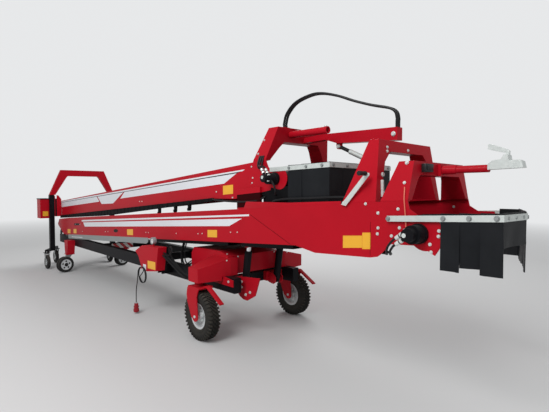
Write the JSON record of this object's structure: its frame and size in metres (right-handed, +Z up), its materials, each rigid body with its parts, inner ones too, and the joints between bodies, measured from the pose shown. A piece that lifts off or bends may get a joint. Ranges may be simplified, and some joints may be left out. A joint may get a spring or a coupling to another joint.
{
  "type": "telescopic conveyor",
  "caption": "Telescopic store conveyor: an upper trough belt slides over a lower one on a lifting, steerable chassis, with hooded discharge heads, tow coupling and castor-borne tail gantry.",
  "frame": {"origin": "on the floor below the middle of the machine's outline, wheels straight, telescope closed and lift down", "axes": "+X along the machine towards the discharge head and the ball coupling, +Z up, +Y to the far side, away from the motors and the console"},
  "size_m": [10.245, 1.88, 2.768],
  "materials": {
    "red_paint": "gloss",
    "black_paint": "satin",
    "galvanised": "dull zinc",
    "rod_chrome": "polished",
    "rim_silver": "satin",
    "tyre": "matt",
    "castor_rubber": "matt",
    "belt_rubber": "matt",
    "curtain_rubber": "satin",
    "cord_rubber": "satin",
    "plug_plastic": "moulded",
    "panel_plastic": "printed stripes"
  },
  "bodies": {
    "chassis": {"chassis_frame": "black_paint", "axle_beam": "red_paint", "lift_brackets": "red_paint", "tail_legs": "red_paint", "console": "red_paint", "warning_panel": "panel_plastic", "supply_cord": "cord_rubber", "supply_coil": "cord_rubber", "supply_plug": "plug_plastic"},
    "fork_near": {"fork_near": "red_paint"},
    "wheel_near": {"tyre_near": "tyre", "rim_near": "rim_silver"},
    "fork_far": {"fork_far": "red_paint"},
    "wheel_far": {"tyre_far": "tyre", "rim_far": "rim_silver"},
    "tail_castor_near": {"tail_castor_near": "galvanised"},
    "tail_wheels_near": {"tail_wheels_near": "castor_rubber"},
    "tail_castor_far": {"tail_castor_far": "galvanised"},
    "tail_wheels_far": {"tail_wheels_far": "castor_rubber"},
    "lift_barrels": {"lift_barrels": "black_paint"},
    "lift_rods": {"lift_rods": "rod_chrome"},
    "lower_conveyor": {"lower_sides": "red_paint", "lower_bed": "red_paint", "hinge_arms": "red_paint", "lift_beam": "red_paint", "hose_tray": "black_paint", "lower_belt": "belt_rubber", "lower_drums": "galvanised", "lower_guards": "galvanised", "head_cheeks": "red_paint", "head_motor": "black_paint", "head_strip": "galvanised", "head_curtain": "curtain_rubber", "middle_portal": "red_paint", "head_portal": "red_paint", "tow_tube": "red_paint", "ball_coupling": "galvanised", "crank_lever": "galvanised"},
    "upper_conveyor": {"upper_sides": "red_paint", "upper_bed": "black_paint", "upper_belt": "belt_rubber", "upper_drums": "galvanised", "upper_portal": "red_paint", "upper_arm": "red_paint", "upper_motor": "black_paint", "upper_strip": "galvanised", "upper_curtain": "curtain_rubber", "arch_cables": "cord_rubber"},
    "guides": {"tail_guides": "red_paint"},
    "gantry": {"gantry_posts": "black_paint", "gantry_portal": "red_paint", "gantry_cabinet": "red_paint"},
    "castor_1": {"castor_fork_1": "galvanised"},
    "castor_roll_1": {"castor_wheel_1": "castor_rubber"},
    "castor_2": {"castor_fork_2": "galvanised"},
    "castor_roll_2": {"castor_wheel_2": "castor_rubber"},
    "castor_3": {"castor_fork_3": "galvanised"},
    "castor_roll_3": {"castor_wheel_3": "castor_rubber"},
    "castor_4": {"castor_fork_4": "galvanised"},
    "castor_roll_4": {"castor_wheel_4": "castor_rubber"}
  },
  "joints": [
    {"name": "steer_near", "type": "hinge", "parent": "chassis", "child": "fork_near", "pos_m": [1.8425, -0.76, 0.64], "axis": [0, 0, 1], "range_deg": [-90, 15]},
    {"name": "spin_near", "type": "hinge", "parent": "fork_near", "child": "wheel_near", "pos_m": [1.9025, -0.76, 0.29], "axis": [0, 1, 0], "continuous": true},
    {"name": "steer_far", "type": "hinge", "parent": "chassis", "child": "fork_far", "pos_m": [1.8425, 0.76, 0.64], "axis": [0, 0, 1], "range_deg": [-15, 90]},
    {"name": "spin_far", "type": "hinge", "parent": "fork_far", "child": "wheel_far", "pos_m": [1.9025, 0.76, 0.29], "axis": [0, 1, 0], "continuous": true},
    {"name": "tail_swivel_near", "type": "hinge", "parent": "chassis", "child": "tail_castor_near", "pos_m": [-3.5875, -0.62, 0.37], "axis": [0, 0, 1], "continuous": true},
    {"name": "tail_roll_near", "type": "hinge", "parent": "tail_castor_near", "child": "tail_wheels_near", "pos_m": [-3.57187, -0.70863, 0.165], "axis": [0.9848, 0.1736, 0], "continuous": true},
    {"name": "tail_swivel_far", "type": "hinge", "parent": "chassis", "child": "tail_castor_far", "pos_m": [-3.5875, 0.62, 0.37], "axis": [0, 0, 1], "continuous": true},
    {"name": "tail_roll_far", "type": "hinge", "parent": "tail_castor_far", "child": "tail_wheels_far", "pos_m": [-3.57187, 0.53137, 0.165], "axis": [0.9848, 0.1736, 0], "continuous": true},
    {"name": "lift", "type": "hinge", "parent": "chassis", "child": "lower_conveyor", "pos_m": [-4.5175, 0, 0.81], "axis": [0, -1, 0], "range_deg": [0, 3]},
    {"name": "barrel_tilt", "type": "hinge", "parent": "chassis", "child": "lift_barrels", "pos_m": [2.0925, 0, 0.6], "axis": [0, -1, 0], "range_deg": [0, 5.6]},
    {"name": "rod_slide", "type": "slide", "parent": "lift_barrels", "child": "lift_rods", "axis": [0.1569, 0, 0.9876], "range_m": [0, 0.346]},
    {"name": "telescope", "type": "slide", "parent": "lower_conveyor", "child": "upper_conveyor", "axis": [-0.998, 0, -0.0637], "range_m": [0, 6]},
    {"name": "tail_level", "type": "hinge", "parent": "upper_conveyor", "child": "guides", "pos_m": [-4.5675, 0, 1.4], "axis": [0, -1, 0], "range_deg": [-3, 0]},
    {"name": "post_slide", "type": "slide", "parent": "guides", "child": "gantry", "axis": [0, 0, 1], "range_m": [0, 0.384]},
    {"name": "castor_swivel_1", "type": "hinge", "parent": "gantry", "child": "castor_1", "pos_m": [-4.3175, -0.88, 0.35], "axis": [0, 0, 1], "continuous": true},
    {"name": "castor_spin_1", "type": "hinge", "parent": "castor_1", "child": "castor_roll_1", "pos_m": [-4.2675, -0.88, 0.155], "axis": [0, 1, 0], "continuous": true},
    {"name": "castor_swivel_2", "type": "hinge", "parent": "gantry", "child": "castor_2", "pos_m": [-4.9175, -0.52, 0.35], "axis": [0, 0, 1], "continuous": true},
    {"name": "castor_spin_2", "type": "hinge", "parent": "castor_2", "child": "castor_roll_2", "pos_m": [-4.9675, -0.52, 0.155], "axis": [0, 1, 0], "continuous": true},
    {"name": "castor_swivel_3", "type": "hinge", "parent": "gantry", "child": "castor_3", "pos_m": [-4.3175, 0.52, 0.35], "axis": [0, 0, 1], "continuous": true},
    {"name": "castor_spin_3", "type": "hinge", "parent": "castor_3", "child": "castor_roll_3", "pos_m": [-4.2675, 0.52, 0.155], "axis": [0, 1, 0], "continuous": true},
    {"name": "castor_swivel_4", "type": "hinge", "parent": "gantry", "child": "castor_4", "pos_m": [-4.9175, 0.88, 0.35], "axis": [0, 0, 1], "continuous": true},
    {"name": "castor_spin_4", "type": "hinge", "parent": "castor_4", "child": "castor_roll_4", "pos_m": [-4.9675, 0.88, 0.155], "axis": [0, 1, 0], "continuous": true}
  ],
  "couplings": [
    {"joint": "barrel_tilt", "follows": "lift", "ratio": 1.856},
    {"joint": "rod_slide", "follows": "lift", "m_per_rad": 6.586},
    {"joint": "tail_level", "follows": "lift", "ratio": -1},
    {"joint": "post_slide", "follows": "telescope", "ratio": 0.063661}
  ]
}
